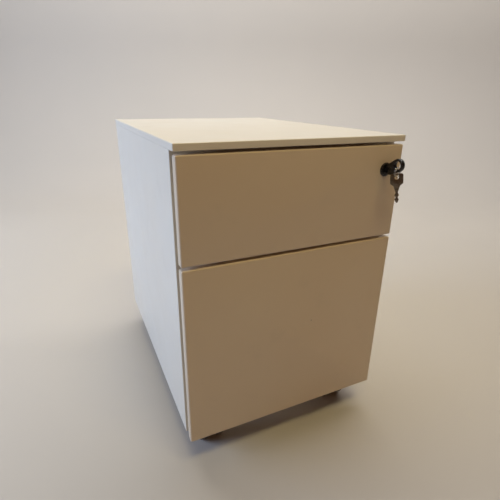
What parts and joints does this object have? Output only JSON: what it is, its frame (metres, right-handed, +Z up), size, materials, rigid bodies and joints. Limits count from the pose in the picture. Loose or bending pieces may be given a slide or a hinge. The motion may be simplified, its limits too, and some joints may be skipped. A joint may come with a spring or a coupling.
{
  "type": "mobile filing pedestal",
  "caption": "Low steel filing cabinet on swivelling twin-wheel casters, with a box drawer over a file drawer, finger-grip edges and one lock with a folding key.",
  "frame": {"origin": "on the floor, at the centre of the whole outline in plan, with the key that stands out of the lock included", "axes": "+X to the right seen from the front, +Y from the drawer fronts to the back, +Z up"},
  "size_m": [0.39, 0.5778, 0.56],
  "materials": {
    "case_paint": "satin off-white powder coat",
    "drawer_paint": "satin off-white powder coat",
    "zinc_steel": "bright zinc plate",
    "key_metal": "dull nickel over brass, worn",
    "black_plastic": "fine-textured black",
    "wheel_plastic": "dark moulded nylon"
  },
  "bodies": {
    "case": {"top_panel": "case_paint", "left_side_panel": "case_paint", "right_side_panel": "case_paint", "back_panel": "case_paint", "base_panel": "case_paint", "top_front_rail": "case_paint", "middle_front_rail": "case_paint", "left_slide_posts": "zinc_steel", "right_slide_posts": "zinc_steel", "case_slide_members": "zinc_steel", "slide_screws": "zinc_steel", "lock_bar_guides": "zinc_steel", "counterweight": "zinc_steel", "caster_stems": "zinc_steel", "caster_nuts": "zinc_steel"},
    "lock_bar": {"lock_bar": "zinc_steel"},
    "upper_drawer": {"upper_front": "drawer_paint", "upper_liner": "drawer_paint", "upper_tray": "drawer_paint", "upper_drawer_slides": "zinc_steel", "upper_lock_stud": "zinc_steel", "lock_barrel": "black_plastic", "lock_nut": "zinc_steel"},
    "upper_middle_slides": {"upper_middle_slides": "zinc_steel"},
    "upper_outer_cages": {"upper_outer_cages": "zinc_steel"},
    "upper_inner_cages": {"upper_inner_cages": "zinc_steel"},
    "lock_plug": {"lock_plug": "black_plastic", "lock_cam": "zinc_steel"},
    "key": {"key_blade": "key_metal"},
    "key_head": {"key_head": "black_plastic", "key_hinge_pin": "zinc_steel"},
    "key_ring": {"key_ring": "zinc_steel"},
    "spare_key": {"spare_key": "key_metal"},
    "lower_drawer": {"lower_front": "drawer_paint", "lower_liner": "drawer_paint", "lower_tray": "drawer_paint", "lower_drawer_slides": "zinc_steel", "lower_lock_stud": "zinc_steel", "file_rails": "zinc_steel"},
    "lower_middle_slides": {"lower_middle_slides": "zinc_steel"},
    "lower_outer_cages": {"lower_outer_cages": "zinc_steel"},
    "lower_inner_cages": {"lower_inner_cages": "zinc_steel"},
    "front_left_caster": {"front_left_hood": "black_plastic", "front_left_axle": "zinc_steel"},
    "front_left_wheel_a": {"front_left_wheel_a": "wheel_plastic"},
    "front_left_wheel_b": {"front_left_wheel_b": "wheel_plastic"},
    "front_right_caster": {"front_right_hood": "black_plastic", "front_right_axle": "zinc_steel"},
    "front_right_wheel_a": {"front_right_wheel_a": "wheel_plastic"},
    "front_right_wheel_b": {"front_right_wheel_b": "wheel_plastic"},
    "rear_left_caster": {"rear_left_hood": "black_plastic", "rear_left_axle": "zinc_steel"},
    "rear_left_wheel_a": {"rear_left_wheel_a": "wheel_plastic"},
    "rear_left_wheel_b": {"rear_left_wheel_b": "wheel_plastic"},
    "rear_right_caster": {"rear_right_hood": "black_plastic", "rear_right_axle": "zinc_steel"},
    "rear_right_wheel_a": {"rear_right_wheel_a": "wheel_plastic"},
    "rear_right_wheel_b": {"rear_right_wheel_b": "wheel_plastic"}
  },
  "joints": [
    {"name": "upper_drawer_slide", "type": "slide", "parent": "case", "child": "upper_drawer", "axis": [0, -1, 0], "range_m": [0, 0.4]},
    {"name": "upper_middle_slides_slide", "type": "slide", "parent": "case", "child": "upper_middle_slides", "axis": [0, -1, 0], "range_m": [0, 0.2]},
    {"name": "upper_outer_cages_slide", "type": "slide", "parent": "case", "child": "upper_outer_cages", "axis": [0, -1, 0], "range_m": [0, 0.1]},
    {"name": "upper_inner_cages_slide", "type": "slide", "parent": "case", "child": "upper_inner_cages", "axis": [0, -1, 0], "range_m": [0, 0.3]},
    {"name": "lower_drawer_slide", "type": "slide", "parent": "case", "child": "lower_drawer", "axis": [0, -1, 0], "range_m": [0, 0.45]},
    {"name": "lower_middle_slides_slide", "type": "slide", "parent": "case", "child": "lower_middle_slides", "axis": [0, -1, 0], "range_m": [0, 0.225]},
    {"name": "lower_outer_cages_slide", "type": "slide", "parent": "case", "child": "lower_outer_cages", "axis": [0, -1, 0], "range_m": [0, 0.1125]},
    {"name": "lower_inner_cages_slide", "type": "slide", "parent": "case", "child": "lower_inner_cages", "axis": [0, -1, 0], "range_m": [0, 0.3375]},
    {"name": "lock_bar_lift", "type": "slide", "parent": "case", "child": "lock_bar", "axis": [0, 0, 1], "range_m": [0, 0.00848]},
    {"name": "lock_plug_turn", "type": "hinge", "parent": "upper_drawer", "child": "lock_plug", "pos_m": [0.1605, -0.25107, 0.5055], "axis": [0, 1, 0], "range_deg": [0, 90]},
    {"name": "key_withdraw", "type": "slide", "parent": "lock_plug", "child": "key", "axis": [0, -1, 0], "range_m": [0, 0.03]},
    {"name": "key_fold", "type": "hinge", "parent": "key", "child": "key_head", "pos_m": [0.1605, -0.26297, 0.508], "axis": [1, 0, 0], "range_deg": [-3, 108]},
    {"name": "key_ring_swing", "type": "hinge", "parent": "key_head", "child": "key_ring", "pos_m": [0.1605, -0.27843, 0.51622], "axis": [1, 0, 0], "range_deg": [-108, 3]},
    {"name": "spare_key_swing", "type": "hinge", "parent": "key_ring", "child": "spare_key", "pos_m": [0.1605, -0.27843, 0.49712], "axis": [0.5, 0.866, 0], "range_deg": [-8, 8]},
    {"name": "front_left_swivel", "type": "hinge", "parent": "case", "child": "front_left_caster", "pos_m": [-0.14, -0.20607, 0.05], "axis": [0, 0, 1], "continuous": true},
    {"name": "front_left_wheel_a_spin", "type": "hinge", "parent": "front_left_caster", "child": "front_left_wheel_a", "pos_m": [-0.14, -0.18807, 0.025], "axis": [1, 0, 0], "continuous": true},
    {"name": "front_left_wheel_b_spin", "type": "hinge", "parent": "front_left_caster", "child": "front_left_wheel_b", "pos_m": [-0.14, -0.18807, 0.025], "axis": [1, 0, 0], "continuous": true},
    {"name": "front_right_swivel", "type": "hinge", "parent": "case", "child": "front_right_caster", "pos_m": [0.14, -0.20607, 0.05], "axis": [0, 0, 1], "continuous": true},
    {"name": "front_right_wheel_a_spin", "type": "hinge", "parent": "front_right_caster", "child": "front_right_wheel_a", "pos_m": [0.14, -0.18807, 0.025], "axis": [1, 0, 0], "continuous": true},
    {"name": "front_right_wheel_b_spin", "type": "hinge", "parent": "front_right_caster", "child": "front_right_wheel_b", "pos_m": [0.14, -0.18807, 0.025], "axis": [1, 0, 0], "continuous": true},
    {"name": "rear_left_swivel", "type": "hinge", "parent": "case", "child": "rear_left_caster", "pos_m": [-0.14, 0.23893, 0.05], "axis": [0, 0, 1], "continuous": true},
    {"name": "rear_left_wheel_a_spin", "type": "hinge", "parent": "rear_left_caster", "child": "rear_left_wheel_a", "pos_m": [-0.14, 0.25693, 0.025], "axis": [1, 0, 0], "continuous": true},
    {"name": "rear_left_wheel_b_spin", "type": "hinge", "parent": "rear_left_caster", "child": "rear_left_wheel_b", "pos_m": [-0.14, 0.25693, 0.025], "axis": [1, 0, 0], "continuous": true},
    {"name": "rear_right_swivel", "type": "hinge", "parent": "case", "child": "rear_right_caster", "pos_m": [0.14, 0.23893, 0.05], "axis": [0, 0, 1], "continuous": true},
    {"name": "rear_right_wheel_a_spin", "type": "hinge", "parent": "rear_right_caster", "child": "rear_right_wheel_a", "pos_m": [0.14, 0.25693, 0.025], "axis": [1, 0, 0], "continuous": true},
    {"name": "rear_right_wheel_b_spin", "type": "hinge", "parent": "rear_right_caster", "child": "rear_right_wheel_b", "pos_m": [0.14, 0.25693, 0.025], "axis": [1, 0, 0], "continuous": true}
  ],
  "couplings": [
    {"joint": "upper_middle_slides_slide", "follows": "upper_drawer_slide", "ratio": 0.5},
    {"joint": "upper_outer_cages_slide", "follows": "upper_drawer_slide", "ratio": 0.25},
    {"joint": "upper_inner_cages_slide", "follows": "upper_drawer_slide", "ratio": 0.75},
    {"joint": "lower_middle_slides_slide", "follows": "lower_drawer_slide", "ratio": 0.5},
    {"joint": "lower_outer_cages_slide", "follows": "lower_drawer_slide", "ratio": 0.25},
    {"joint": "lower_inner_cages_slide", "follows": "lower_drawer_slide", "ratio": 0.75},
    {"joint": "lock_plug_turn", "follows": "lock_bar_lift", "rad_per_m": 185.12},
    {"joint": "key_ring_swing", "follows": "key_fold", "ratio": -1}
  ]
}
